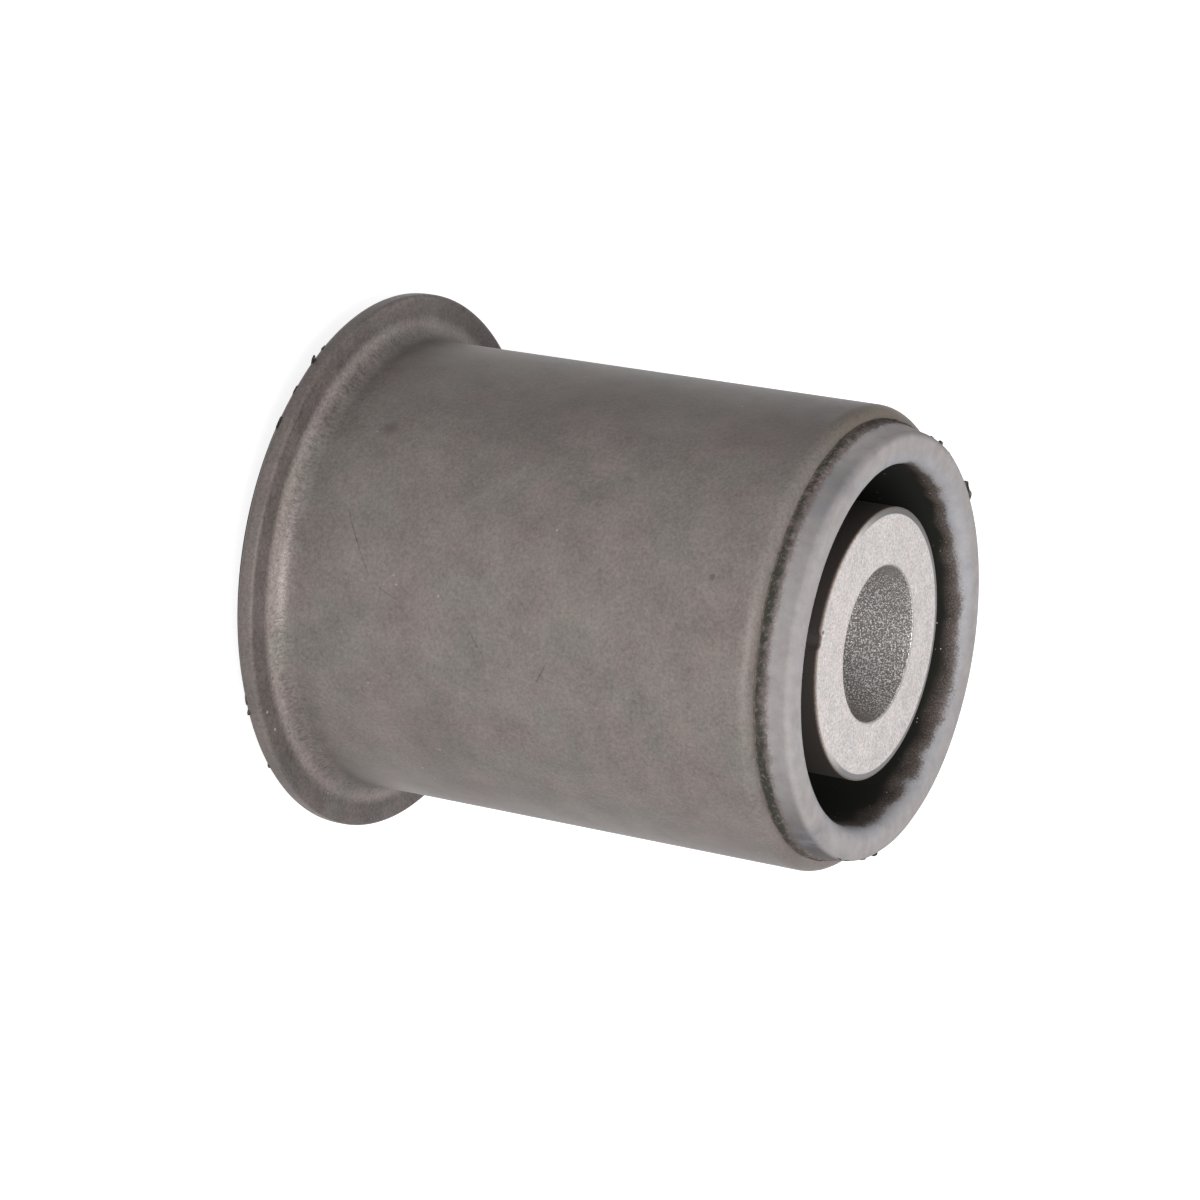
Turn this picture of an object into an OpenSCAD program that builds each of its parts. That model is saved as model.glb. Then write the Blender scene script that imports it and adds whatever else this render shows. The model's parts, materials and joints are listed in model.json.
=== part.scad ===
// Rubber metal bush with a flange: two steel sleeves and the rubber moulded between them.
// It stands on the rubber lip of its flanged end. The axis is Z and the origin is on the
// axis, at the bottom. Sections are drawn with X as the radius and Y as the height.

/* [Outer sleeve] */
// Outside diameter of the barrel, which is pressed into its housing
barrel_d = 42.4; // [40:0.1:50]
// Length from the flange's seat face to the far end
barrel_len = 48; // [36:0.5:90]
// Thickness of the sheet that the sleeve is drawn from
sheet_t = 1.8; // [1.4:0.1:2.2]
// How far the flange stands out from the barrel
flange_w = 4.15; // [3.6:0.05:8]
// Radius of the bend between barrel and flange, on its outer side
bend_r = 2; // [1:0.1:2.2]
// Rounding of the flange's rim, on the seat side
rim_front_r = 0.3; // [0.1:0.1:0.5]
// Rounding of the flange's rim, on the back
rim_back_r = 0.8; // [0.2:0.1:0.8]
// Rounding of the far end's outer edge, which leads the barrel into its housing
end_round_r = 1.2; // [0.8:0.1:1.2]

/* [Inner sleeve] */
// Diameter of the bore for the bolt
bolt_bore_d = 14.2; // [10:0.1:18]
// Outside diameter of the inner sleeve
inner_d = 24.8; // [21:0.1:26]
// How far its ends lie below the tops of the rubber lips
inner_recess = 1.05; // [0.6:0.05:2]
// Width of the sloping rim round each of its end faces
inner_rim_w = 0.65; // [0.3:0.05:1]
// How far that rim slopes down from the face
inner_rim_drop = 0.1; // [0.05:0.05:0.5]
// Chamfer of the edges of its bore
bore_chamfer = 0.1; // [0.1:0.1:0.6]

/* [Rubber] */
// How far the lip stands out from the outer sleeve's far end
lip_front_h = 3.3; // [2.8:0.1:6]
// How far the lip stands out from the flange's seat face, through the flange
lip_back_h = 5; // [4.8:0.1:9]
// How far a lip's outer side lies in from the edge of the outer sleeve's flat end
lip_step = 0.65; // [0.45:0.05:1]
// Width of a lip
lip_w = 2.95; // [2.3:0.05:3.4]
// Rounding of a lip's top on its outer side
lip_out_r = 0.7; // [0.3:0.1:0.9]
// Rounding of a lip's top on the side of the void
lip_in_r = 1.3; // [0.3:0.1:1.3]
// Depth of the ring-shaped voids from the tops of the lips
void_depth = 12; // [8:0.5:18]
// How much narrower a void is at its floor than at its rim
void_draft = 0.5; // [0.2:0.1:1]
// Thickness of the skin that runs up the inner sleeve from a void's floor
skin_t = 0.4; // [0.3:0.1:0.6]
// How far the skin runs up from the round of the floor
skin_h = 2; // [0.5:0.5:3]
// Rounding of the skin's edge
skin_edge_r = 0.3; // [0.05:0.05:0.3]
// Height of the torn collar, where the lip starts on the outer sleeve's end
collar_h = 1.45; // [0.8:0.05:1.6]
// How far the torn collar leans in
collar_in = 0.3; // [0.2:0.05:0.4]
// Thickness of the layer on the back of the flange
back_t = 0.5; // [0.3:0.1:1]
// How far that layer ends short of the flange's rim
back_in = 1.05; // [0.9:0.05:1.3]
// Rounding of the layer's edge
back_edge_r = 0.2; // [0.1:0.1:0.3]
// Fillet between that layer and the lip
back_fillet_r = 0.8; // [0.3:0.1:0.9]

/* [Hidden] */
$fn = 180;
// How far a cut or a filling runs past the face that it starts from
past = 1;

// Outer sleeve: radii and heights of its faces, and the centre of its bend
barrel_r = barrel_d / 2;
wall_in_r = barrel_r - sheet_t;
wall_mid_r = barrel_r - sheet_t / 2;
flange_r = barrel_r + flange_w;
seat_z = lip_back_h;
flange_back_z = seat_z - sheet_t;
flange_mid_z = seat_z - sheet_t / 2;
bend_x = barrel_r + bend_r;
bend_z = seat_z + bend_r;
end_z = seat_z + barrel_len;
end_r = barrel_r - end_round_r;

// Whole bush and inner sleeve
top_z = end_z + lip_front_h;
inner_len = top_z - 2 * inner_recess;
inner_r = inner_d / 2;
bore_r = bolt_bore_d / 2;

// Rubber: radii of the lips, the voids, the skin and the void's round floor, and the layer
lip_r = end_r - lip_step;
void_r = lip_r - lip_w;
skin_r = inner_r + skin_t;
floor_r = (void_r - void_draft - skin_r) / 2;
back_r = flange_r - back_in;
back_z = flange_back_z - back_t;

// What rounding cuts from a convex corner at [0, 0], with the solid below it and to its left
module corner_waste(r) {
    difference() {
        translate([-r, -r]) square(r + past);
        translate([-r, -r]) circle(r);
    }
}

// What fills a concave corner at [0, 0], with the open space above it and to its right
module fillet(r) {
    difference() {
        translate([-past, -past]) square(r + past);
        translate([r, r]) circle(r);
    }
}

module flange_section() {
    difference() {
        translate([bend_x, flange_back_z]) square([flange_r - bend_x, sheet_t]);
        translate([flange_r, seat_z]) corner_waste(rim_front_r);
        translate([flange_r, flange_back_z]) mirror([0, 1]) corner_waste(rim_back_r);
    }
}

module bend_section() {
    intersection() {
        difference() {
            translate([bend_x, bend_z]) circle(bend_r + sheet_t);
            translate([bend_x, bend_z]) circle(bend_r);
        }
        translate([wall_in_r, flange_back_z]) square(bend_r + sheet_t);
    }
}

module barrel_section() {
    difference() {
        translate([wall_in_r, bend_z]) square([sheet_t, end_z - bend_z]);
        translate([barrel_r, end_z]) corner_waste(end_round_r);
    }
}

module outer_sleeve_section() {
    flange_section();
    bend_section();
    barrel_section();
}

module inner_sleeve_section() {
    translate([0, inner_recess])
        polygon([
            [bore_r + bore_chamfer, 0],
            [inner_r - inner_rim_w, 0],
            [inner_r, inner_rim_drop],
            [inner_r, inner_len - inner_rim_drop],
            [inner_r - inner_rim_w, inner_len],
            [bore_r + bore_chamfer, inner_len],
            [bore_r, inner_len - bore_chamfer],
            [bore_r, bore_chamfer]
        ]);
}

// What is cut from one end of the rubber, whose lip has its top at Y = 0: the ring-shaped
// void, the space over the inner sleeve, and the rounded edges of the lip and the skin
module end_cut() {
    floor_x = skin_r + floor_r;
    floor_y = floor_r - void_depth;
    skin_y = floor_y + skin_h;
    translate([floor_x, floor_y]) circle(floor_r);
    polygon([
        [skin_r, floor_y],
        [skin_r + 2 * floor_r, floor_y],
        [void_r, -lip_in_r],
        [void_r, past],
        [0, past],
        [0, skin_y],
        [skin_r, skin_y]
    ]);
    translate([skin_r, skin_y]) corner_waste(skin_edge_r);
    translate([void_r, 0]) mirror([1, 0]) corner_waste(lip_in_r);
    translate([lip_r, 0]) corner_waste(lip_out_r);
}

// The rubber before the voids are cut: it runs half into the sheet, which then trims it
module rubber_blank() {
    translate([inner_r, 0]) square([lip_r - inner_r, top_z]);
    polygon([
        [inner_r, bend_z],
        [wall_mid_r, bend_z],
        [wall_mid_r, end_z - end_round_r],
        [end_r, end_z],
        [end_r - collar_in, end_z + collar_h],
        [lip_r, top_z - lip_out_r],
        [inner_r, top_z - lip_out_r]
    ]);
    difference() {
        translate([inner_r, back_z]) square([bend_x - inner_r, bend_z - back_z]);
        translate([bend_x, bend_z]) circle(bend_r + sheet_t / 2);
    }
    difference() {
        translate([inner_r, back_z]) square([back_r - inner_r, flange_mid_z - back_z]);
        translate([back_r, back_z]) mirror([0, 1]) corner_waste(back_edge_r);
    }
    translate([lip_r, back_z]) mirror([0, 1]) fillet(back_fillet_r);
}

module outer_sleeve() {
    color([0.46, 0.44, 0.42]) rotate_extrude() outer_sleeve_section();
}

module rubber_spring() {
    color([0.24, 0.23, 0.24])
        rotate_extrude()
            difference() {
                rubber_blank();
                outer_sleeve_section();
                translate([0, top_z]) end_cut();
                mirror([0, 1]) end_cut();
            }
}

module inner_sleeve() {
    color([0.78, 0.76, 0.74]) rotate_extrude() inner_sleeve_section();
}

outer_sleeve();
rubber_spring();
inner_sleeve();
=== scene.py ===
# %% [markdown]
# # A rubber metal bush, from its sections to its finish
#
# The real object is a tube of drawn steel with a flange, a thick steel tube for the bolt,
# and rubber that was moulded between the two. All three are round, so all three can be made
# in the same way: draw half of the section once and carry it round the axis. What makes the
# bush look real is not its outline but what happened to it in the works, such as the dull
# phosphate coat, the pale bloom on the lips, the collar where the moulding flash was torn
# off, and the sparkle of blasted steel. Each of these gets a step of its own.
#
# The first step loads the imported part. Its nodes and mounts give the main sizes.

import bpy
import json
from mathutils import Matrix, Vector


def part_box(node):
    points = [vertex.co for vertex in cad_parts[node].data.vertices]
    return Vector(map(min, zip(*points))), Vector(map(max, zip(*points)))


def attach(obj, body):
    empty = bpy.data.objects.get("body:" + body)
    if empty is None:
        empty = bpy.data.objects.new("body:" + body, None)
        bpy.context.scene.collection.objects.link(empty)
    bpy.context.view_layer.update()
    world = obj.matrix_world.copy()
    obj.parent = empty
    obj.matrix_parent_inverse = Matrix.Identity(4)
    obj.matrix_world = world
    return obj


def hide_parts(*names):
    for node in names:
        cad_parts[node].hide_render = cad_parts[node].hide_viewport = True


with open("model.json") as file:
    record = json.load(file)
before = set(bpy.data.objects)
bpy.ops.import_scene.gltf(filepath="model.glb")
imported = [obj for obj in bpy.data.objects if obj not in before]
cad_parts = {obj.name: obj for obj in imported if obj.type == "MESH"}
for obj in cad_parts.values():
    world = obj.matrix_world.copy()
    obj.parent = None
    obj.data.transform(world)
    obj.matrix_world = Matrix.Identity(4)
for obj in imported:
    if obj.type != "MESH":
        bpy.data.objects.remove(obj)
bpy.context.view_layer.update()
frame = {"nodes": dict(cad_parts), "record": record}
print("nodes:", sorted(frame["nodes"]))

# %% [markdown]
# ## The camera
#
# The picture was taken with a long lens, from a point that looks down on the bush lying on
# its side, with its axis a little below level at the far end. Here the bush stands on its
# flanged end, as the part's own frame has it. Turning the camera about its line of sight
# gives the same picture, because only the direction from the camera to the bush counts.

# %% Place the camera
import json
import math

import bpy
import numpy as np
from mathutils import Quaternion, Vector

CAMERA_PLACE = Vector((0.0, -0.3729, 0.2225))
CAMERA_TARGET = Vector((0.00037, 0.0, 0.02677))
CAMERA_LENS = 136.93
QUARTER_TURN = 90.0
AXIS_BELOW_LEVEL = 9.845

lens = bpy.data.cameras.new("camera")
lens.lens = CAMERA_LENS
camera = bpy.data.objects.new("camera", lens)
bpy.context.scene.collection.objects.link(camera)
bpy.context.scene.camera = camera
sight = CAMERA_TARGET - CAMERA_PLACE
roll = Quaternion((0, 0, 1), math.radians(QUARTER_TURN + AXIS_BELOW_LEVEL))
camera.location = CAMERA_PLACE
camera.rotation_mode = "QUATERNION"
camera.rotation_quaternion = sight.to_track_quat("-Z", "Y") @ roll
print(f"camera {sight.length:.3f} m away with a {CAMERA_LENS:.0f} mm lens")

# %% [markdown]
# ## Sizes from the frame
#
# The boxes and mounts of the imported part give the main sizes, so nothing has to be fitted by
# hand. A few sizes can't be read from a box, such as the radius of a bend, and they are
# repeated where they are used. Lengths are in millimetres up to the point where a mesh is
# made. Only the camera, the floor and the lamps are placed in metres.

# %% Read the sizes
MM = 0.001


def reach(node):
    """Outer radius, lowest and highest point of a node, in mm."""
    low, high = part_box(node)
    return [round(value / MM, 2) for value in (high.x, low.z, high.z)]


mounts = {mount["name"]: mount for mount in frame["record"]["mounts"]}
flange_r, flange_back, far_end = reach("outer_sleeve")
layer_r, bottom, top = reach("rubber_spring")
inner_r, inner_bottom, inner_top = reach("inner_sleeve")
barrel_r = mounts["barrel"]["dims"]["r_mm"]
bore_r = mounts["bolt_bore"]["dims"]["r_mm"]
seat = round(mounts["flange_seat"]["pos_m"][2] / MM, 2)
sheet = seat - flange_back
print(f"barrel {2 * barrel_r:.1f} mm, flange {2 * flange_r:.1f} mm, length {top:.1f} mm")
print(f"inner sleeve {2 * inner_r:.1f} mm, bore {2 * bore_r:.1f} mm, sheet {sheet:.1f} mm")

# %% [markdown]
# ## Sections with rounded corners
#
# A draughtsman draws such a section as straight lines and then rounds the corners. The
# helper does the same, so a section is a short list of corners, each with the radius that
# rounds it and the spacing of the points after it. Fine spacing is kept for what is seen.
# Edges that look sharp are rounded too, by a few hundredths of a millimetre, because a real
# edge always catches a little light.

# %% Draw a section
ARC_SEGMENTS = 5
FINE, COARSE = 0.25, 2.5
CRISP_R, SOFT_R = 0.02, 0.05


def section(corners):
    """Closed outline through corners given as (radius, height, rounding, spacing), in mm.

    With a and b the unit vectors from a corner P to its neighbours, and w the angle by which
    the outline turns there, the arc starts at P + a rounding tan(w / 2). Its centre lies on
    the line that halves the corner, rounding / cos(w / 2) from P. The arc turns by w in even
    steps, and the straight stretch to the next arc is divided into even parts.
    """
    rows = np.array(corners, float)
    points, rounding, spacing = rows[:, :2], rows[:, 2], rows[:, 3]
    back = np.roll(points, 1, axis=0) - points
    ahead = np.roll(points, -1, axis=0) - points
    back /= np.linalg.norm(back, axis=1, keepdims=True)
    ahead /= np.linalg.norm(ahead, axis=1, keepdims=True)
    turn = np.pi - np.arccos(np.clip((back * ahead).sum(axis=1), -1, 1))
    side = np.sign(back[:, 1] * ahead[:, 0] - back[:, 0] * ahead[:, 1])
    middle = (back + ahead) / np.linalg.norm(back + ahead, axis=1, keepdims=True)
    centre = points + middle * (rounding / np.cos(turn / 2))[:, None]
    start = points + back * (rounding * np.tan(turn / 2))[:, None]
    parts = []
    for i in range(len(points)):
        segments = max(ARC_SEGMENTS, math.ceil(rounding[i] * turn[i] / spacing[i]))
        turned = side[i] * np.linspace(0, turn[i], segments + 1)
        ray = start[i] - centre[i]
        arc = centre[i] + np.stack([
            ray[0] * np.cos(turned) - ray[1] * np.sin(turned),
            ray[0] * np.sin(turned) + ray[1] * np.cos(turned),
        ], axis=1)
        following = start[(i + 1) % len(points)]
        pieces = max(1, math.ceil(np.linalg.norm(following - arc[-1]) / spacing[i]))
        share = np.linspace(0, 1, pieces + 1)[1:-1, None]
        parts += [arc, arc[-1] + (following - arc[-1]) * share]
    outline = np.concatenate(parts)
    apart = np.linalg.norm(np.roll(outline, -1, axis=0) - outline, axis=1)
    return outline[apart > 0.001]


# %% [markdown]
# ## Surfaces carried round the axis
#
# A lathe would cut these shapes, and a Screw modifier would too. A grid of points is used
# instead, because each point can then be moved by a formula, and real pressed steel and torn
# rubber are never quite round. The grid closes on itself both ways, so the surface is shut.

# %% Carry a section round
SHARP_ANGLE = math.radians(38)


def ring(outline, around):
    """Angle, radius and height of every point of an outline carried once round the axis.

    The angle is 0 at the side that faces the camera and grows towards +X.
    """
    angle = np.linspace(0, 2 * np.pi, around, endpoint=False)[:, None]
    return np.broadcast_arrays(angle, outline[:, 0][None], outline[:, 1][None])


def mesh_of(name, angle, radius, height):
    """Closed mesh from a grid of angles, radii and heights that wraps both ways.

    A point lies at x = r sin(angle), y = -r cos(angle), z = height. Six times the volume that
    the surface holds is the sum, over its triangles, of the triple product of their corners.
    If that is negative, the faces are turned over.
    """
    points = np.stack([radius * np.sin(angle), -radius * np.cos(angle), height], axis=-1)
    around, along = radius.shape
    index = np.arange(around * along).reshape(around, along)
    beside = np.roll(index, -1, axis=0)
    quads = np.stack([index, beside, np.roll(beside, -1, axis=1), np.roll(index, -1, axis=1)],
                     axis=-1).reshape(-1, 4)
    flat = points.reshape(-1, 3) * MM
    a, b, c, d = (flat[quads[:, k]] for k in range(4))
    volume = ((a * np.cross(b, c)).sum() + (a * np.cross(c, d)).sum()) / 6
    if volume < 0:
        quads = quads[:, ::-1]
    mesh = bpy.data.meshes.new(name)
    mesh.from_pydata(flat, [], quads)
    mesh.polygons.foreach_set("use_smooth", np.ones(len(quads), bool))
    mesh.set_sharp_from_angle(angle=SHARP_ANGLE)
    mesh.update()
    piece = bpy.data.objects.new(name, mesh)
    bpy.context.scene.collection.objects.link(piece)
    print(f"{name}: {2 * len(quads)} triangles, {abs(volume) / MM**3:.0f} mm3")
    return piece


# %% [markdown]
# ## Unevenness
#
# Random heights on a coarse lattice, blended smoothly between its points, look like cast,
# pressed or torn material. The lattice closes round the axis, so there is no seam.

# %% Random heights on a ring
LATTICE_ROWS = 97


def smooth(value, low, high):
    """0 below low, 1 above high, and 3t^2 - 2t^3 between, with t the way from low to high."""
    t = np.clip((value - low) / (high - low), 0, 1)
    return t * t * (3 - 2 * t)


def grain(angle, along, size, seed):
    """Smooth random heights from -1 to 1, in cells of a size in mm round the barrel.

    along is the other coordinate in mm, in which a cell is as long as it is wide. In each
    cell the four corner heights are blended by 3t^2 - 2t^3 both ways.
    """
    cells = round(2 * np.pi * barrel_r / size)
    table = np.random.default_rng(seed).uniform(-1, 1, (cells, LATTICE_ROWS))
    across = (angle / (2 * np.pi) * cells) % cells
    up = along / size
    column, row = np.floor(across).astype(int), np.floor(up).astype(int)
    s, t = across - column, up - row
    s, t = s * s * (3 - 2 * s), t * t * (3 - 2 * t)
    left, right = column % cells, (column + 1) % cells
    low, high = row % LATTICE_ROWS, (row + 1) % LATTICE_ROWS
    return ((table[left, low] * (1 - s) + table[right, low] * s) * (1 - t)
            + (table[left, high] * (1 - s) + table[right, high] * s) * t)


def hump(angle, degrees, width, sharpness=2):
    """exp(-|distance / width|^sharpness) round the axis, in degrees: 1 at an angle."""
    away = np.abs((np.degrees(angle) - degrees + 180) % 360 - 180)
    return np.exp(-(away / width) ** sharpness)


# %% [markdown]
# ## Writing shader maths
#
# A material is a graph of nodes, and a formula in it soon takes a dozen of them. The class
# below wraps the output of a node, so that a formula can be written as one: each + or * adds
# a Math node. Every other node comes from its one method, node().

# %% Wrap a socket
class Wire:
    """An output socket of a material, for use in formulas."""

    def __init__(self, tree, socket=None):
        self.tree = tree
        self.socket = socket

    def node(self, kind, settings, inputs, output=0):
        """Adds a node. Its settings come first, then a value or a wire for each input."""
        made = self.tree.nodes.new("ShaderNode" + kind)
        for name, value in settings.items():
            setattr(made, name, value)
        for key, value in inputs.items():
            if isinstance(value, Wire):
                self.tree.links.new(value.socket, made.inputs[key])
            else:
                made.inputs[key].default_value = value
        return Wire(self.tree, made.outputs[output] if made.outputs else None)

    def math(self, operation, *values):
        """Adds a Math node that works on values, which may be wires or numbers."""
        return self.node("Math", {"operation": operation}, dict(enumerate(values)))

    def __add__(self, other):
        return self.math("ADD", self, other)

    def __sub__(self, other):
        return self.math("SUBTRACT", self, other)

    def __rsub__(self, other):
        return self.math("SUBTRACT", other, self)

    def __mul__(self, other):
        return self.math("MULTIPLY", self, other)

    def __truediv__(self, other):
        return self.math("DIVIDE", self, other)

    __radd__ = __add__
    __rmul__ = __mul__

    def step(self, low, high):
        """0 where self is below low, 1 where it is above high, and an S-curve between."""
        settings = {"interpolation_type": "SMOOTHSTEP"}
        return self.node("MapRange", settings, {0: self, 1: low, 2: high})

    def near(self, value, width):
        """1 where self is a value, falling to 0 at a width on both sides of it."""
        return 1 - self.math("ABSOLUTE", self - value).step(0, width)

    def noise(self, size, detail=2.0, rough=0.5):
        """Cloudy values from 0 to 1 with features of a size in mm, where self is a place."""
        inputs = {"Vector": self, "Scale": 1 / size, "Detail": detail, "Roughness": rough}
        return self.node("TexNoise", {}, inputs)

    def specks(self, apart, size):
        """1 in small round specks of up to a size, scattered about apart mm from each other."""
        away = self.node("TexVoronoi", {}, {"Vector": self, "Scale": 1 / apart}, "Distance")
        return 1 - away.step(0.3 * size / apart, 0.5 * size / apart)

    def mixed(self, first, second):
        """Colour that goes from first to second as self goes from 0 to 1."""
        return self.node("Mix", {"data_type": "RGBA"}, {0: self, 6: first, 7: second}, 2)

    def times(self, share):
        """Colour or vector self with all its parts multiplied by a share."""
        return self.node("VectorMath", {"operation": "SCALE"}, {0: self, 3: share})


# %% [markdown]
# Each finish starts in the same way. The place on the object is taken in millimetres, and
# then as a radius, an angle and a height, because marks on a turned part follow its turning.

# %% Start and end a finish
class Finish:
    """A new material, with the place on the object as wires: in mm, and angles in degrees."""

    def __init__(self, name):
        self.material = bpy.data.materials.new(name)
        self.material.use_nodes = True
        self.material.node_tree.nodes.clear()
        self.wire = Wire(self.material.node_tree)
        self.place = self.wire.node("TexCoord", {}, {}, "Object").times(1 / MM)
        self.x, self.y, self.height = (self.wire.node("SeparateXYZ", {}, {0: self.place}, axis)
                                       for axis in "XYZ")
        self.radius = self.wire.math("SQRT", self.x * self.x + self.y * self.y)
        self.angle = self.wire.math("ARCTAN2", self.x, self.y * -1) * math.degrees(1)

    def streaks(self, along, width, length):
        """Noise drawn out along the section: width mm round the axis and length mm along it.

        The place is (x / r, y / r) barrel_r / width round the axis, which has no seam.
        """
        share = barrel_r / width
        drawn_out = self.wire.node("CombineXYZ", {}, {
            0: self.x / self.radius * share, 1: self.y / self.radius * share,
            2: along / length,
        })
        return drawn_out.noise(1.0)

    def close(self, color, roughness, metallic, relief, depth, specular=0.5):
        """Ends in a Principled shader. relief is a height from 0 to 1 and depth its mm."""
        normal = self.wire.node("Bump", {}, {
            "Height": relief, "Distance": depth * MM, "Strength": 1.0,
        })
        shader = self.wire.node("BsdfPrincipled", {}, {
            "Base Color": color, "Roughness": roughness, "Metallic": metallic,
            "Normal": normal, "Specular IOR Level": specular,
        })
        self.wire.node("OutputMaterial", {}, {"Surface": shader})
        print(f"{self.material.name}: {len(self.material.node_tree.nodes)} nodes")
        return self.material


def dress(piece, material, replaced=None):
    """Gives a piece its material and its slot, fixes it to the body, and hides its node."""
    piece.data.materials.append(material)
    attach(piece, "root")
    if replaced:
        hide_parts(replaced)


# %% [markdown]
# ## The outer sleeve
#
# The real sleeve is drawn from 1.8 mm sheet. The punch leaves a bend of 2 mm where the barrel
# meets the flange, the trimming die leaves one edge of the flange crisp and rounds the other,
# and the far end is rounded so that the sleeve leads into its housing. All of that is in the
# section. Drawing also leaves the wall a little slimmer at mid-length and a few hundredths of
# a millimetre uneven, which shows only in how the light lies on it.

# %% Shape the outer sleeve
AROUND = 448
BEND_R = 2.0
RIM_FRONT_R = 0.3
RIM_BACK_R = 0.8
END_ROUND_R = 1.2
EDGE_R = 0.1
BEND_SPACING = 0.5
WAIST = 0.09
WAVE, WAVE_SIZE = 0.03, 14.0

end_r = barrel_r - END_ROUND_R
wall_in_r = barrel_r - sheet
bend_top = seat + BEND_R

sleeve_section = section([
    (flange_r, seat, RIM_FRONT_R, FINE),
    (barrel_r, seat, BEND_R, BEND_SPACING),
    (barrel_r, far_end, END_ROUND_R, FINE),
    (wall_in_r, far_end, EDGE_R, COARSE),
    (wall_in_r, flange_back, BEND_R + sheet, COARSE),
    (flange_r, flange_back, RIM_BACK_R, FINE),
])
angle, radius, height = ring(sleeve_section, AROUND)
outside = smooth(radius, barrel_r - sheet / 2, end_r) * smooth(height, seat, bend_top)
outside = outside * (1 - smooth(height, far_end - END_ROUND_R, far_end))
waist = WAIST * np.cos(2 * np.pi * (height - bend_top) / (far_end - bend_top))
waves = WAVE * grain(angle, height, WAVE_SIZE, seed=1)
outer_sleeve = mesh_of("outer_sleeve_steel", angle, radius + outside * (waist + waves), height)

# %% [markdown]
# ### Its finish
#
# The steel carries a grey phosphate coat. It is dull, slightly warm, and cloudy in patches
# that lean to green or to pink. Crystals in the coat give it a fine grain, which is what
# breaks up the highlight in the bend. The bend is painted a little darker, with a paler band
# and short streaks round it as a painted highlight, clearest on the side that faces the lamp.
# The rim's front edge has a thin painted highlight, and the rim's side and the flange away
# from the lamp's side are painted darker as shade. Handling has left stains, fine scratches
# and a few pale specks. Some dark clouds, on the sides that turn from the lamp, are painted
# shade. The lists give the places of these marks, as an angle in degrees and a height in
# millimetres (for the specks on the flange a radius), and then their widths.

# %% Finish the outer sleeve
COAT_GREEN = (0.192, 0.177, 0.162, 1)
COAT_PINK = (0.210, 0.177, 0.167, 1)
COAT_TAN = (0.180, 0.148, 0.115, 1)
COAT_STAIN = (0.115, 0.092, 0.088, 1)
COAT_WORN = (0.42, 0.40, 0.38, 1)
SCRATCHES = [((-10.5, 11.0), (-2.8, 12.7)), ((-4.4, 12.3), (4.5, 14.4)),
             ((7.2, 15.7), (9.2, 17.4)), ((14.0, 25.3), (19.2, 26.6)),
             ((23.5, 32.1), (18.0, 33.2))]
SCRATCH_W = 0.12
SCRATCH_DEPTH = 0.25
STAINS = [(-33.5, 12.0, 1.1), (-8.75, 48.1, 0.45)]
# Dark clouds on the sides that turn from the lamp: partly the coat's own clouds, partly painted
# shade.
CLOUDS_AND_SHADE = [(-43.5, 25.8, 7.0), (-54.0, 46.0, 6.0), (-60.0, 32.0, 6.0), (-74.0, 49.0, 7.0),
          (45.0, 20.0, 6.0), (72.0, 20.0, 7.0), (74.0, 50.0, 8.0)]
CLOUD_DEPTH = 0.4
SPECK_SIZE, SPECKS_APART = 0.3, 3.4
FLANGE_SPECKS = [(39.5, 24.46, 0.22), (45.0, 24.09, 0.2)]
TINT_SIZE, CLOUD_SIZE, CRYSTAL_SIZE = 6.0, 4.0, 0.3
STREAK_W, STREAK_L = 0.25, 1.0
COAT_ROUGHNESS, COAT_METALLIC, COAT_SHINE = 0.45, 0.04, 0.12
COAT_RELIEF = 0.05


def scratch(finish, first, last, width):
    """1 on a line between two points, given as an angle and a height, and 0 elsewhere.

    With p the way along the line from 0 to 1, the distance to the line is that to the point
    first + p (last - first).
    """
    per_degree = math.radians(barrel_r)
    along = (last[0] - first[0]) * per_degree, last[1] - first[1]
    square = along[0] ** 2 + along[1] ** 2
    across, up = (finish.angle - first[0]) * per_degree, finish.height - first[1]
    share = (across * along[0] + up * along[1]) / square
    share = share.math("MINIMUM", share.math("MAXIMUM", share, 0), 1)
    off_across, off_up = across - share * along[0], up - share * along[1]
    away = share.math("SQRT", off_across * off_across + off_up * off_up)
    return 1 - away.step(0.3 * width, 0.7 * width)


def spot(finish, degrees, radius, height, width):
    """1 at a place, given as an angle, a radius and a height, fading out over a width in mm."""
    turn = math.radians(degrees)
    point = (radius * math.sin(turn), -radius * math.cos(turn), height)
    inputs = {0: finish.place, 1: point}
    away = finish.wire.node("VectorMath", {"operation": "DISTANCE"}, inputs, "Value")
    return 1 - away.step(0.2 * width, width)


def coat_color(finish, clouds):
    """Grey that leans to green or pink, tan at the far end, with stains and dark clouds, partly
    painted shade.
    """
    height, angle = finish.height, finish.angle
    flange = 1 - height.step(seat, seat + 2)
    tint = (finish.place.noise(TINT_SIZE, 4.0, 0.6) + flange * 0.1).step(0.3, 0.7)
    color = tint.mixed(COAT_GREEN, COAT_PINK)
    lead_in = height.step(far_end - 1.6, far_end - 0.7) * angle.near(-80, 40)
    color = lead_in.mixed(color, COAT_TAN)
    # Dark clouds at the far end's upper side: partly stains, partly painted shade.
    marks = height.near(far_end - 2.0, 3.5) * angle.near(-66, 34) * clouds.step(0.35, 0.6)
    for degrees, level, width in STAINS:
        marks = marks + spot(finish, degrees, barrel_r, level, width)
    for degrees, level, width in CLOUDS_AND_SHADE:
        marks = marks + spot(finish, degrees, barrel_r, level, width) * CLOUD_DEPTH
    return (marks * 0.7).mixed(color, COAT_STAIN)


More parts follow.
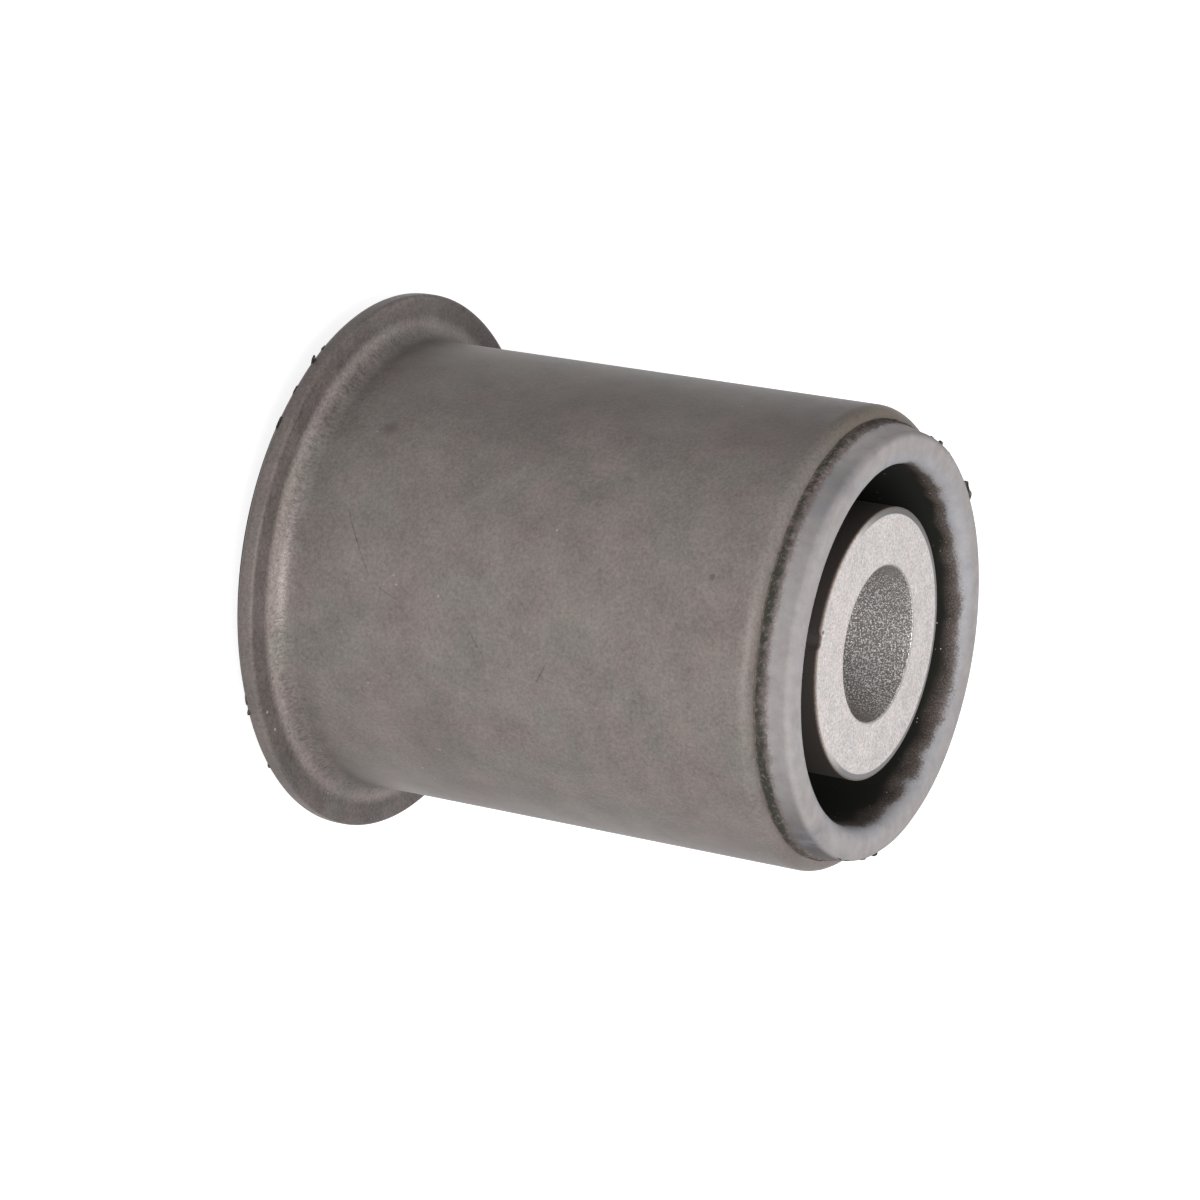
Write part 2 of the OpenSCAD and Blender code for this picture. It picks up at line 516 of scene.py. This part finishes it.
def coat_shade(finish, clouds, crystals, drawn, bend):
    """Share by which the coat is lighter or darker: grain, painted highlight band and edge,
    painted shade, scratches.
    """
    height, radius, angle = finish.height, finish.radius, finish.angle
    flat = height.near(seat, 0.25) * radius.step(barrel_r + 1.2, barrel_r + 2.4)
    # Painted shade on the rim's side.
    rim = radius.step(flange_r - 0.2, flange_r - 0.05)
    # Painted shade: the flange and the foot of the bend are darker away from the side that faces
    # the lamp.
    flange_shade = (1 - height.step(seat + 1, seat + 4)) * (1 - angle.near(5, 60))
    # Painted highlight along the rim's front edge.
    edge_highlight = radius.near(flange_r - 0.1, 0.3) * height.near(seat - 0.1, 0.35)
    # Painted highlight: a paler band round the bend, strongest on the side that faces the lamp.
    painted_highlight = radius.near(barrel_r + 1.35, 0.95) * (1 - height.step(seat + 0.5, seat + 0.9))
    painted_highlight = painted_highlight * (0.45 + angle.near(0, 90) * 0.6)
    shade = 1 + (clouds - 0.5) * 0.75 + (crystals - 0.5) * (1.1 + painted_highlight)
    shade = shade + (drawn - 0.5) * bend * 0.8
    shade = shade - flat * 0.26 - rim * 0.1 - flange_shade * 0.15 + edge_highlight * 0.05
    # The bend is painted darker, and the band in it paler as a painted highlight.
    shade = shade - bend * 0.12 + painted_highlight * 0.5
    for first, last in SCRATCHES:
        shade = shade - scratch(finish, first, last, SCRATCH_W) * SCRATCH_DEPTH
    return shade


def phosphate_coat():
    finish = Finish("phosphate_coat")
    place, height, radius = finish.place, finish.height, finish.radius
    clouds = place.noise(CLOUD_SIZE, 6.0, 0.68)
    crystals = place.noise(CRYSTAL_SIZE, 3.0, 0.75)
    bend = height.near(seat + 0.6, 2.0) * radius.near(barrel_r + 0.6, 2.2)
    drawn = finish.streaks(height - radius, STREAK_W, STREAK_L)
    shade = coat_shade(finish, clouds, crystals, drawn, bend)
    worn = place.specks(SPECKS_APART, SPECK_SIZE) * 0.5
    for degrees, away, width in FLANGE_SPECKS:
        worn = worn + spot(finish, degrees, away, seat, width)
    color = worn.mixed(coat_color(finish, clouds).times(shade), COAT_WORN)
    roughness = COAT_ROUGHNESS + (crystals - 0.5) * 0.5 - bend * 0.12
    metallic = COAT_METALLIC + bend * 0.14
    relief = crystals * (0.7 + bend * 0.2) + clouds * 0.1 + drawn * bend * 0.3
    return finish.close(color, roughness, metallic, relief, COAT_RELIEF, specular=COAT_SHINE)


dress(outer_sleeve, phosphate_coat(), "outer_sleeve")

# %% [markdown]
# ## The rubber
#
# The rubber is injected between the two sleeves in one shot. It fills the middle, forms a
# lip at each end, and steel cores keep a ring-shaped void open inside each lip, so that the
# bush is soft at first and stiff when the void has closed. The sides of a void draft by half
# a millimetre so that the core pulls out, its floor is round so that it doesn't tear, and a
# thin skin runs a little way up the inner sleeve. The same corner list, mirrored, makes both
# ends, with wider spacing at the end that the bush stands on. It starts a tenth of a
# millimetre inside the inner sleeve, so that no seam shows. The front lip stands a trifle
# off centre and out of level, as the mould left it.

# %% Shape the rubber
LIP_STEP = 0.65
LIP_W = 2.95
LIP_OUT_R = 0.7
LIP_IN_R = 1.3
VOID_DEPTH = 12.0
VOID_DRAFT = 0.5
SKIN_T = 0.4
SKIN_H = 2.0
SKIN_EDGE_R = 0.3
COLLAR_H = 1.45
COLLAR_IN = 0.3
LAYER_T = 0.5
LAYER_EDGE_R = 0.2
LAYER_FILLET_R = 0.8
HIDDEN_EDGE = 0.1
SKIN_SPACING, WALL_SPACING, LAYER_SPACING, BACK_SPACING = 1.0, 0.9, 0.4, 1.5
LIP_WAVE, LIP_WAVE_SIZE = 0.03, 4.0
COLLAR_PEAK_AT, COLLAR_PEAK_W = -72, 24
LIP_SHIFT, LIP_SHIFT_TO = 0.15, math.radians(130)
LIP_TILT, LIP_TILT_TO = 0.06, math.radians(163)

lip_r = end_r - LIP_STEP
void_r = lip_r - LIP_W
skin_r = inner_r + SKIN_T
floor_out_r = void_r - VOID_DRAFT
floor_r = (floor_out_r - skin_r) / 2
collar_top = far_end + COLLAR_H


def end_corners(height_of):
    """Corners of one end, from the skin over the void's floor to the lip's outer side."""
    skin_top = VOID_DEPTH - floor_r - SKIN_H
    return [
        (inner_r - HIDDEN_EDGE, height_of(skin_top), CRISP_R, FINE),
        (skin_r, height_of(skin_top), SKIN_EDGE_R, SKIN_SPACING),
        (skin_r, height_of(VOID_DEPTH), floor_r, FINE),
        (floor_out_r, height_of(VOID_DEPTH), floor_r, WALL_SPACING),
        (void_r, height_of(LIP_IN_R), EDGE_R, FINE),
        (void_r, height_of(0), LIP_IN_R, FINE),
        (lip_r, height_of(0), LIP_OUT_R, FINE),
    ]


def on_front_lip(angle, radius, height):
    """Shifts and tilts what belongs to the front lip, fully so above the torn collar.

    A shift s towards an angle A moves a point outwards by s cos(angle - A), and a tilt lifts
    it by t cos(angle - B).
    """
    share = smooth(height, far_end + 0.5, far_end + 2.5)
    return (radius + share * LIP_SHIFT * np.cos(angle - LIP_SHIFT_TO),
            height + share * LIP_TILT * np.cos(angle - LIP_TILT_TO))


front = end_corners(lambda depth: top - depth)
back = [(*corner[:3], BACK_SPACING) for corner in end_corners(lambda depth: bottom + depth)]
rubber_section = section([
    *front,
    (end_r - COLLAR_IN, collar_top, SOFT_R, FINE),
    (end_r, far_end, CRISP_R, FINE),
    (wall_in_r, far_end, CRISP_R, COARSE),
    (wall_in_r, flange_back, BEND_R + sheet, COARSE),
    (layer_r, flange_back, SOFT_R, FINE),
    (layer_r, flange_back - LAYER_T, LAYER_EDGE_R, LAYER_SPACING),
    (lip_r, flange_back - LAYER_T, LAYER_FILLET_R, FINE),
    *reversed(back),
])
angle, radius, height = ring(rubber_section, AROUND)
free = smooth(np.abs(height - (top + bottom) / 2), far_end / 2, far_end / 2 + 1)
radius = radius + free * LIP_WAVE * grain(angle, height, LIP_WAVE_SIZE, seed=2)
radius, height = on_front_lip(angle, radius, height)
rubber = mesh_of("rubber_moulding", angle, radius, height)

# %% [markdown]
# ### Its finish
#
# Black rubber doesn't stay black. Wax and sulphur come to its surface as a bloom, a dusty
# grey that leans to violet and blue, and the blue grey on the lip's inner rounding is partly
# a painted sheen. The lip's outer side and rounding are painted darker as shade, and lighter
# where the side turns from the lamp. The bloom covers the lips and ends in a wavy, crumbly
# border a millimetre down the void, where it turns brown. Deeper down the void is black but
# for specks of dust. Below the front lip the rubber is torn, and there it is dark and brown,
# painted lighter on the sides that turn from the lamp.

# %% Finish the rubber
RUBBER_BLACK = (0.011, 0.011, 0.009, 1)
BLOOM_PINK = (0.43, 0.395, 0.39, 1)
# Blue grey, partly a painted sheen on the lip's inner rounding.
BLOOM_BLUE_SHEEN = (0.395, 0.39, 0.41, 1)
BLOOM_BROWN = (0.17, 0.14, 0.13, 1)
SMUDGE = (0.20, 0.20, 0.22, 1)
DUST = (0.60, 0.57, 0.55, 1)
VOID_BROWN = (0.075, 0.058, 0.048, 1)
RIDGE = (0.50, 0.46, 0.455, 1)
LAYER_GREY = (0.12, 0.112, 0.108, 1)
TORN_BROWN = (0.130, 0.106, 0.100, 1)
TORN_GREEN = (0.040, 0.039, 0.032, 1)
TORN_CHIP = (0.20, 0.18, 0.175, 1)
SMUDGES = [(67, top - 0.6, 2.6), (-44, top - 1.0, 2.4), (-33, collar_top, 1.6)]
TORN_BLOTCHES, CHIP_SIZE = 0.8, 0.35
BLOOM_CLOUDS, BLOOM_PATCHES, GRIT_SIZE, FINE_GRIT_SIZE = 2.2, 1.3, 0.22, 0.13
BORDER_WAVES = 2.6
DUST_SIZE, DUST_APART = 0.15, 0.7
RUBBER_ROUGHNESS, RUBBER_SHINE, RUBBER_RELIEF = 0.85, 0.2, 0.03


def torn_color(finish):
    """Brown rubber, nearly black in its lower half, with pale chips in its upper half."""
    place, angle = finish.place, finish.angle
    level = finish.height - far_end
    blotches = place.noise(TORN_BLOTCHES, 3.0, 0.65)
    low = level.near(0.4, 0.85) * (0.65 + angle.near(46, 26) * 0.9 + angle.near(-8, 18) * 0.4)
    dark = low + (blotches - 0.5) * 1.8
    color = dark.step(0.1, 0.9).mixed(TORN_BROWN, TORN_GREEN)
    chips = (place.noise(CHIP_SIZE, 3.0, 0.7) + level * 0.06).step(0.56, 0.7)
    color = (chips * (0.4 + angle.near(80, 40) * 0.4)).mixed(color, TORN_CHIP)
    # Painted light: lighter at about -58 and 92 degrees, where the collar turns from the lamp.
    return color.times(1 + angle.near(-58, 35) * 0.4 + angle.near(92, 26) * 0.4)


def bloom_color(finish, depth, clouds, patches, grit):
    """Pink grey outside, blue grey inside as a painted sheen, painted shade on the lip's side,
    and smudges.
    """
    radius, angle = finish.radius, finish.angle
    # Blue grey on the lip's inner rounding, partly a painted sheen and partly random clouds.
    blue_sheen = (1 - radius.step(void_r + 0.5, void_r + 1.7)) * 0.7 + clouds.step(0.35, 0.65) * 0.3
    paler = 0.5 + patches * 0.44 + grit * 0.2 + clouds * 0.2
    bloom = blue_sheen.mixed(BLOOM_PINK, BLOOM_BLUE_SHEEN).times(paler)
    side = radius.step(lip_r - 0.9, lip_r - 0.2) * depth.step(0.1, 0.9)
    # Painted shade on the lip's outer side, darker near 72 and -42 degrees, and painted light at
    # about -76 degrees, where the side turns from the lamp.
    side_shade = 0.28 + angle.near(-42, 24) * 0.12 + angle.near(72, 40) * 0.4
    side_shade = side_shade - angle.near(-76, 40) * 0.75
    # Painted shade on the lip's outer rounding.
    rounding_shade = radius.near(lip_r - 0.25, 0.5) * depth.near(0.25, 0.5)
    bloom = bloom.times(1 - side * side_shade - rounding_shade * 0.14)
    for degrees, level, width in SMUDGES:
        smudge = spot(finish, degrees, lip_r, level, width) * patches.step(0.3, 0.7)
        bloom = smudge.mixed(bloom, SMUDGE)
    return bloom


def with_void(finish, bloom, depth, clouds, grit):
    """Bloom down to its border in the void, then brown crumbs, then black with dust."""
    place, angle = finish.place, finish.angle
    fine = place.noise(FINE_GRIT_SIZE, 2.0, 0.7)
    in_void = 1 - finish.radius.step(void_r + 0.9, void_r + 1.3)
    far = angle.math("ABSOLUTE", angle).near(180, 50)
    waves = place.noise(BORDER_WAVES, 1.5, 0.5)
    border = depth + far * 0.4 + (waves - 0.5) * (2.2 - far * 0.8)
    color = border.step(1.2, 3.0).mixed(VOID_BROWN, RUBBER_BLACK)
    crumbs = (1 - border.step(1.4, 2.8)) * fine.step(0.45, 0.65)
    color = crumbs.mixed(color, BLOOM_BROWN)
    color = (place.specks(DUST_APART, DUST_SIZE) * clouds.step(0.45, 0.6)).mixed(color, DUST)
    bare = border.step(0.6, 1.4) + border.near(1.0, 0.9) * (fine + grit - 1) * 2.4
    return (bare * in_void).mixed(bloom, color)


def bloomed_rubber():
    finish = Finish("bloomed_rubber")
    place, height, radius, angle = finish.place, finish.height, finish.radius, finish.angle
    depth = height.math("MINIMUM", top - height, height - bottom)
    clouds = place.noise(BLOOM_CLOUDS, 4.0, 0.6)
    patches = place.noise(BLOOM_PATCHES, 3.0, 0.6)
    grit = place.noise(GRIT_SIZE, 3.0, 0.75)
    bloom = bloom_color(finish, depth, clouds, patches, grit)
    color = with_void(finish, bloom, depth, clouds, grit)
    ragged = height + (patches - 0.5) * 0.5
    torn = 1 - (ragged + (grit - 0.5) * 0.9).step(collar_top - 0.6, collar_top)
    torn = torn * radius.step(void_r + 1, lip_r - 0.5) * height.step(far_end - 2, far_end - 1)
    color = torn.mixed(color, torn_color(finish))
    ridge = ragged.near(collar_top - 0.05, 0.14) * angle.near(COLLAR_PEAK_AT, COLLAR_PEAK_W)
    color = (ridge * 0.8).mixed(color, RIDGE)
    layer = radius.step(lip_r + 0.1, lip_r + 0.7) * (1 - height.step(seat, seat + 1))
    color = layer.mixed(color, LAYER_GREY)
    relief = grit * 0.7 + clouds * 0.3
    return finish.close(color, RUBBER_ROUGHNESS, 0.0, relief, RUBBER_RELIEF, RUBBER_SHINE)


dress(rubber, bloomed_rubber(), "rubber_spring")

# %% [markdown]
# ### The torn collar
#
# Rubber squeezes out where the mould closes on the sleeve's end. When this flash is torn off
# it leaves a rough, dark band round the foot of the front lip. It could be a bump map, but
# its ragged upper edge is a real step, so it is a band of its own with relief. A band that
# dips under the lip's surface gets such an edge by itself: where a random height is low, the
# band sinks out of sight. Three grains make the edge ragged and three more make the torn
# surface. Each is listed as its size in millimetres, its height and its seed. The height is
# in millimetres for the edge, and a share of the relief for the surface.

# %% Shape the torn collar
COLLAR_AROUND = 2048
COLLAR_ROWS = 24
COLLAR_PROUD = 0.08
COLLAR_RELIEF = 0.07
COLLAR_SINK, COLLAR_DIP, COLLAR_T = 0.06, 0.02, 0.5
BAND_H, PEAK_H = 1.0, 0.2
EDGE_GRAINS = [(2.2, 0.14, 3), (0.5, 0.12, 4), (0.2, 0.08, 5)]
TEAR_GRAINS = [(0.9, 0.5, 5), (0.35, 0.5, 6), (0.2, 0.7, 7)]


def cone_r(height):
    """Radius of the lip's leaning outer side at a height: straight from corner to corner."""
    heights = [far_end, collar_top, top - LIP_OUT_R]
    return np.interp(height, heights, [end_r, end_r - COLLAR_IN, lip_r])


angle = np.linspace(0, 2 * np.pi, COLLAR_AROUND, endpoint=False)[:, None]
way = np.linspace(0, 1, COLLAR_ROWS)[None]
border = far_end + BAND_H + PEAK_H * hump(angle, COLLAR_PEAK_AT, COLLAR_PEAK_W)
for size, share, seed in EDGE_GRAINS:
    border = border + share * grain(angle, 0 * angle, size, seed)
height = far_end - COLLAR_DIP + way * (border - far_end)
tears = sum(share * grain(angle, height, size, seed) for size, share, seed in TEAR_GRAINS)
proud = COLLAR_PROUD * np.sin(np.pi * way) ** 0.5 - COLLAR_SINK * way ** 6
radius = cone_r(height) + proud + COLLAR_RELIEF * tears * smooth(way, 0, 0.15)
inside = cone_r(height) - COLLAR_T
grid = (np.broadcast_to(angle, (COLLAR_AROUND, 2 * COLLAR_ROWS)),
        np.hstack([radius, inside[:, ::-1]]), np.hstack([height, height[:, ::-1]]))
torn_collar = mesh_of("torn_collar", grid[0], *on_front_lip(*grid))

# %% Finish the torn collar
TORN_FINE = 0.15
TORN_ROUGHNESS, TORN_RELIEF = 0.9, 0.05


def torn_rubber():
    finish = Finish("torn_rubber")
    fine = finish.place.noise(TORN_FINE, 2.0, 0.7)
    color = torn_color(finish).times(0.7 + fine * 0.6)
    smear = 1 - (finish.height + (fine - 0.5) * 0.3).step(far_end + 0.08, far_end + 0.22)
    color = (smear * 0.7).mixed(color, COAT_TAN)
    return finish.close(color, TORN_ROUGHNESS, 0.0, fine, TORN_RELIEF, RUBBER_SHINE)


dress(torn_collar, torn_rubber())

# %% [markdown]
# ### Flash
#
# A little flash is left where it was trimmed badly: nibs behind the flange's rim, and flakes
# on the front lip's outer edge. Each is a fin round the axis that stays hidden in the rubber,
# except at a few angles, where it sticks out. The lists give the angle in degrees, the half
# width in degrees and the reach in millimetres of each bit that sticks out.

# %% Shape the flash
FLASH_AROUND = 2048
FLASH_ROWS = 8
FLASH_GRAIN = 0.5
NIB_SHARPNESS = 6
HIDDEN_REACH = 0.05
RIM_NIBS = [(-45.75, 1.1, 1.05), (-41.25, 0.8, 1.5), (-33.0, 1.5, 1.0), (-24.5, 2.0, 1.12),
            (36.2, 1.6, 1.0), (39.0, 0.6, 1.3), (54.75, 0.7, 1.1)]
LIP_FLAKES = [(-128.0, 4.2, 0.75), (-110.0, 1.2, 0.42), (-103.0, 1.6, 0.48), (-97.0, 1.5, 0.4),
              (84.0, 1.5, 0.4), (89.0, 1.6, 0.42), (99.0, 2.0, 0.45), (106.0, 2.2, 0.45)]


def fin(name, root_r, root_height, rise, thickness, nibs, ragged):
    """Ring-shaped fin whose reach at an angle is the highest of its nibs.

    With s from 0 at the root to 1 at the tip, a point lies at root + s reach outwards and
    s rise reach upwards, plus or minus half of the thickness times 1 - s / 2.
    """
    angle = np.linspace(0, 2 * np.pi, FLASH_AROUND, endpoint=False)[:, None]
    humps = [size * hump(angle, at, width, NIB_SHARPNESS) for at, width, size in nibs]
    uneven = 1 + ragged * grain(angle, 0 * angle, FLASH_GRAIN, seed=8)
    reach = np.max(humps, axis=0) * uneven + HIDDEN_REACH
    s = np.linspace(0, 1, FLASH_ROWS)
    s = np.concatenate([s, s[::-1]])[None]
    side = np.repeat([0.5, -0.5], FLASH_ROWS)[None] * thickness * (1 - s / 2)
    radius = root_r + s * reach
    height = root_height + s * rise * reach + side
    angle = np.broadcast_to(angle, radius.shape)
    return mesh_of(name, angle, *on_front_lip(angle, radius, height))


rim_flash = fin("rim_flash", layer_r - 0.1, flange_back - 0.05, rise=0.35, thickness=0.3,
                nibs=RIM_NIBS, ragged=0.1)
lip_flash = fin("lip_flash", lip_r - 0.35, top - 0.5, rise=0.3, thickness=0.2,
                nibs=LIP_FLAKES, ragged=0.15)

# %% Finish the flash
FLASH_DARK = (0.022, 0.021, 0.019, 1)
FLASH_GREY = (0.15, 0.135, 0.12, 1)
FLASH_BLOTCHES = 0.5
FLASH_ROUGHNESS = 0.8


def flash_rubber():
    finish = Finish("flash_rubber")
    blotches = finish.place.noise(FLASH_BLOTCHES, 2.0, 0.6)
    color = blotches.step(0.45, 0.65).mixed(FLASH_DARK, FLASH_GREY)
    return finish.close(color, FLASH_ROUGHNESS, 0.0, blotches, RUBBER_RELIEF, RUBBER_SHINE)


flash_finish = flash_rubber()
dress(rim_flash, flash_finish)
dress(lip_flash, flash_finish)

# %% [markdown]
# ## The inner sleeve
#
# This is a plain thick tube. Its ends are faced, with a rim that slopes down by a tenth of a
# millimetre, and the whole of it is blasted bright before the rubber is bonded on. Its edge
# has one small nick at the side near the camera.

# %% Shape the inner sleeve
RIM_W = 0.65
RIM_DROP = 0.1
BORE_CHAMFER = 0.1
CHAMFER_R, TUBE_EDGE_R = 0.03, 0.06
RIM_SPACING, FACE_SPACING, BORE_SPACING, TUBE_SPACING = 0.1, 0.2, 1.0, 1.5
NICK_ANGLE, NICK_WIDTH, NICK_DEPTH = 3.0, 3.0, 0.45
NICK_SHARPNESS = 4

rim_in_r = inner_r - RIM_W
tube_section = section([
    (bore_r + BORE_CHAMFER, inner_bottom, CHAMFER_R, BORE_SPACING),
    (rim_in_r, inner_bottom, SOFT_R, RIM_SPACING),
    (inner_r, inner_bottom + RIM_DROP, TUBE_EDGE_R, TUBE_SPACING),
    (inner_r, inner_top - RIM_DROP, TUBE_EDGE_R, RIM_SPACING),
    (rim_in_r, inner_top, SOFT_R, FACE_SPACING),
    (bore_r + BORE_CHAMFER, inner_top, CHAMFER_R, RIM_SPACING),
    (bore_r, inner_top - BORE_CHAMFER, CHAMFER_R, BORE_SPACING),
    (bore_r, inner_bottom + BORE_CHAMFER, CHAMFER_R, BORE_SPACING),
])
angle, radius, height = ring(tube_section, AROUND)
at_edge = smooth(radius, rim_in_r - 0.3, inner_r) * smooth(height, inner_top - 2, inner_top - 0.1)
radius = radius - NICK_DEPTH * at_edge * hump(angle, NICK_ANGLE, NICK_WIDTH, NICK_SHARPNESS)
inner_sleeve = mesh_of("inner_sleeve_steel", angle, radius, height)

# %% [markdown]
# ### Its finish
#
# Blasted steel is a field of tiny dents, each of which mirrors another part of the room. It
# looks even from afar and granular from near, with a sparkle here and there. A shader that
# is partly metallic, with a fine bump, does this. In the bore the sparkle is painted as pale
# glints, mostly on the far wall, and the bore's sides and its chamfer are painted darker as
# shade. The sloping rim is painted grey as shade, except on the near side, and darker still
# at about -95 degrees. Adhesive has left a brown fringe on the side of the tube, and the
# rest of that side is dark with primer. Beside the nick, the shade of a small pit is painted
# as a dark spot. It is given as an angle, a radius, a height and a width.

# %% Finish the inner sleeve
STEEL_PINK = (0.62, 0.565, 0.55, 1)
STEEL_BLUE = (0.585, 0.56, 0.555, 1)
STEEL_DARK = (0.31, 0.28, 0.265, 1)
STEEL_GLINT = (0.98, 0.98, 0.98, 1)
RIM_SHADE_GREY = (0.17, 0.17, 0.175, 1)
RIM_EDGE = (0.05, 0.048, 0.05, 1)
FRINGE = (0.16, 0.12, 0.095, 1)
PRIMER = (0.017, 0.012, 0.010, 1)
PIT = (-0.7, inner_r - 0.4, inner_top, 0.3)
STEEL_TINT_SIZE, STEEL_CLOUDS, DENT_SIZE, GLINT_SIZE = 0.9, 1.4, 0.24, 0.15
STEEL_ROUGHNESS, STEEL_METALLIC, STEEL_RELIEF = 0.7, 0.4, 0.05


def face_and_bore(finish, dents, in_bore):
    """Pale steel with grain and clouds. The bore is darker, with painted glints and shade,
    lightest far off.
    """
    place, height, radius, angle = finish.place, finish.height, finish.radius, finish.angle
    clouds = place.noise(STEEL_CLOUDS, 4.0, 0.7)
    tint = place.noise(STEEL_TINT_SIZE, 3.0, 0.6).step(0.35, 0.65)
    color = tint.mixed(STEEL_PINK, STEEL_BLUE)
    color = color.times(1 + (dents - 0.5) * 1.6 + (clouds - 0.5) * 0.5)
    # Painted light and shade in the bore: the far wall lightest and with the most painted glints,
    # the sides darker.
    far_wall_light = 0.4 + angle.math("ABSOLUTE", angle).step(95, 140) * 0.6
    glints = place.noise(GLINT_SIZE, 1.0, 0.6).step(0.5, 0.61) * far_wall_light
    bore = glints.mixed(STEEL_DARK, STEEL_GLINT).times(0.8 + far_wall_light * 0.25)
    # Painted shade on the chamfer at the bore's top edge.
    lip = radius.near(bore_r + 0.1, 0.12) * height.step(inner_top - 0.3, inner_top - 0.1)
    return in_bore.mixed(color, bore).times(1 - lip * 0.4)


def blasted_steel():
    finish = Finish("blasted_steel")
    height, radius, angle = finish.height, finish.radius, finish.angle
    dents = finish.place.noise(DENT_SIZE, 3.0, 0.75)
    in_bore = 1 - radius.step(bore_r + 0.02, bore_r + 0.08)
    color = face_and_bore(finish, dents, in_bore)
    ragged = radius + (dents - 0.5) * 0.2
    near_side = angle.near(5, 95)
    # Painted shade: the sloping rim is grey except on the near side, and darker still at about
    # -95 degrees.
    rim = ragged.step(rim_in_r - 0.02, rim_in_r + 0.1) * (1 - near_side.step(0.1, 0.5))
    rim_color = ragged.step(inner_r - 0.2, inner_r - 0.08).mixed(RIM_SHADE_GREY, RIM_EDGE)
    rim_color = rim_color.times(1 - angle.near(-95, 45) * 0.5)
    color = (rim * 0.9).mixed(color, rim_color)
    # Painted shade of a small pit beside the nick, as a dark spot.
    color = (spot(finish, *PIT) * 0.8).mixed(color, RIM_EDGE)
    browned = ragged.step(inner_r - 0.25, inner_r - 0.1) * near_side
    color = (browned * 0.6).mixed(color, FRINGE)
    down = height.math("MINIMUM", inner_top - height, height - inner_bottom)
    down = down + (dents - 0.5) * 0.2
    on_side = radius.step(rim_in_r - 0.3, rim_in_r - 0.2)
    fringe = on_side * down.step(0.05, 0.13)
    primed = on_side * down.step(0.12, 0.35)
    color = primed.mixed(fringe.mixed(color, FRINGE), PRIMER)
    metallic = (STEEL_METALLIC + in_bore * 0.25) * (1 - fringe) * (1 - rim * 0.3)
    roughness = STEEL_ROUGHNESS + (dents - 0.5) * 0.2 - in_bore * 0.3
    relief = dents * (0.8 + in_bore * 0.8)
    return finish.close(color, roughness, metallic, relief, STEEL_RELIEF)


dress(inner_sleeve, blasted_steel(), "inner_sleeve")

# %% [markdown]
# ## Floor, background and light
#
# The bush is shown on white, so the floor and the room are white to the camera and in what
# metal mirrors, by the Light Path node. For light that falls on the bush they are weaker,
# so that its own colours stay as written. One broad soft lamp stands in front, a little to
# the right and above. A weaker one behind keeps the far side from going dark, and is left
# out of what metal mirrors. The room gives the rest.

# %% Lay the floor and set the room
FLOOR_HALF = 2.0
FLOOR_GAP = 0.00005
FLOOR_COLOR = (0.5, 0.5, 0.5, 1)
FLOOR_GLOW = 0.88
ROOM_LIGHT = 0.085
WHITE = (1, 1, 1, 1)


def seen_directly(wire):
    """1 for light paths that show a background: from the camera, in gloss, or through glass."""
    kinds = ("Is Camera Ray", "Is Glossy Ray", "Is Transmission Ray")
    camera_ray, glossy, transmitted = (wire.node("LightPath", {}, {}, kind) for kind in kinds)
    return camera_ray + glossy + transmitted


def graph_of(owner):
    """An empty node graph for a material or a world."""
    owner.use_nodes = True
    owner.node_tree.nodes.clear()
    return Wire(owner.node_tree)


floor_mesh = bpy.data.meshes.new("floor")
corners = [(-FLOOR_HALF, -FLOOR_HALF, -FLOOR_GAP), (FLOOR_HALF, -FLOOR_HALF, -FLOOR_GAP),
           (FLOOR_HALF, FLOOR_HALF, -FLOOR_GAP), (-FLOOR_HALF, FLOOR_HALF, -FLOOR_GAP)]
floor_mesh.from_pydata(corners, [], [(0, 1, 2, 3)])
floor = bpy.data.objects.new("floor", floor_mesh)
bpy.context.scene.collection.objects.link(floor)
floor_white = bpy.data.materials.new("floor_white")
wire = graph_of(floor_white)
plain = wire.node("BsdfDiffuse", {}, {"Color": FLOOR_COLOR})
glow = wire.node("Emission", {}, {"Color": WHITE, "Strength": FLOOR_GLOW})
lit = wire.node("AddShader", {}, {0: plain, 1: glow})
shown = wire.node("MixShader", {}, {0: seen_directly(wire), 1: plain, 2: lit})
wire.node("OutputMaterial", {}, {"Surface": shown})
floor_mesh.materials.append(floor_white)

world = bpy.data.worlds.new("studio")
bpy.context.scene.world = world
wire = graph_of(world)
room = wire.node("Background", {}, {"Color": WHITE, "Strength": ROOM_LIGHT})
backdrop = wire.node("Background", {}, {"Color": WHITE, "Strength": 1.0})
shown = wire.node("MixShader", {}, {0: seen_directly(wire), 1: room, 2: backdrop})
wire.node("OutputWorld", {}, {"Surface": shown})
print("floor and room are white, and the room lights the bush with", ROOM_LIGHT)

# %% Set the lamps
LAMP_DISTANCE = 0.6
LAMP_SIZE = 0.4
KEY_DIRECTION = Vector((0.246, -0.675, 0.695))
KEY_POWER = 4.25
FILL_DIRECTION = Vector((-0.15, 0.95, 0.25))
FILL_POWER = 2.4


def soft_lamp(name, direction, power, mirrored=True):
    """A round area lamp that looks at the middle of the bush from a direction."""
    lamp = bpy.data.lights.new(name, "AREA")
    lamp.shape = "DISK"
    lamp.size = LAMP_SIZE
    lamp.energy = power
    holder = bpy.data.objects.new(name, lamp)
    way = direction.normalized()
    holder.location = Vector((0, 0, top * MM / 2)) + way * LAMP_DISTANCE
    holder.rotation_euler = (-way).to_track_quat("-Z", "Y").to_euler()
    holder.visible_glossy = mirrored
    bpy.context.scene.collection.objects.link(holder)
    print(f"{name} lamp {LAMP_DISTANCE} m away, {power} W")


soft_lamp("key", KEY_DIRECTION, KEY_POWER)
soft_lamp("fill", FILL_DIRECTION, FILL_POWER, mirrored=False)
bpy.context.scene.view_settings.view_transform = "Standard"
